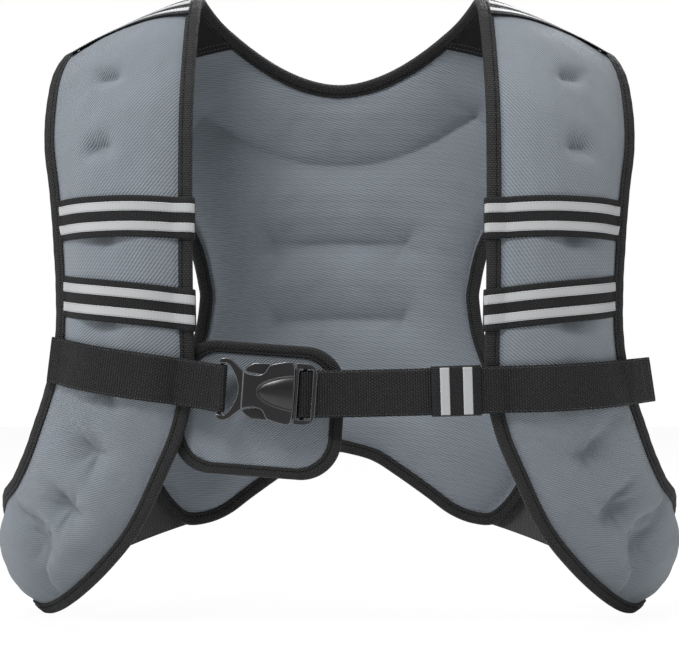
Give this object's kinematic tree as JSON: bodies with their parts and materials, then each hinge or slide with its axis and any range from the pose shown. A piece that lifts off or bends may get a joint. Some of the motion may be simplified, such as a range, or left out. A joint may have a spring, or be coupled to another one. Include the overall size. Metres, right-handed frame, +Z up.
{
  "type": "weighted vest",
  "caption": "Padded over-the-shoulder training vest with bound edges, striped elastic bands, side elastics and a buckled chest strap.",
  "frame": {"origin": "on the middle plane, midway between the two shoulder seams, at the level where the wearer's shoulders carry the vest", "axes": "+Z up, the front faces -Y, and +X is on the right as the front is seen"},
  "size_m": [0.6024, 0.2565, 0.5388],
  "materials": {
    "neoprene": "matt knitted face with a fine diagonal twill",
    "binding_tape": "woven tape, matt",
    "facing_cloth": "plain weave, matt",
    "band_elastic": "ribbed elastic, matt",
    "reflective_tape": "satin reflective tape",
    "side_elastic": "ribbed elastic, matt",
    "webbing": "woven webbing with a slight sheen",
    "buckle_plastic": "satin black moulded plastic"
  },
  "bodies": {
    "root": {"back_panel": "neoprene", "front_panel_right": "neoprene", "front_panel_left": "neoprene", "buckle_guard": "neoprene", "neck_binding": "binding_tape", "arm_binding_right": "binding_tape", "arm_binding_left": "binding_tape", "hem_binding": "binding_tape", "guard_binding": "binding_tape", "shoulder_facing_right": "facing_cloth", "shoulder_facing_left": "facing_cloth", "upper_band_right": "band_elastic", "upper_band_left": "band_elastic", "lower_band_right": "band_elastic", "lower_band_left": "band_elastic", "shoulder_band_right": "band_elastic", "shoulder_band_left": "band_elastic", "strap_keeper": "band_elastic", "upper_band_top_stripe_right": "reflective_tape", "upper_band_top_stripe_left": "reflective_tape", "upper_band_low_stripe_right": "reflective_tape", "upper_band_low_stripe_left": "reflective_tape", "lower_band_top_stripe_right": "reflective_tape", "lower_band_top_stripe_left": "reflective_tape", "lower_band_low_stripe_right": "reflective_tape", "lower_band_low_stripe_left": "reflective_tape", "shoulder_band_top_stripe_right": "reflective_tape", "shoulder_band_top_stripe_left": "reflective_tape", "shoulder_band_low_stripe_right": "reflective_tape", "shoulder_band_low_stripe_left": "reflective_tape", "keeper_stripe_inner": "reflective_tape", "keeper_stripe_outer": "reflective_tape", "side_connector_right": "side_elastic", "side_connector_left": "side_elastic", "chest_strap_right": "webbing", "chest_strap_left": "webbing", "buckle_socket": "buckle_plastic", "buckle_plug": "buckle_plastic"}
  },
  "joints": []
}
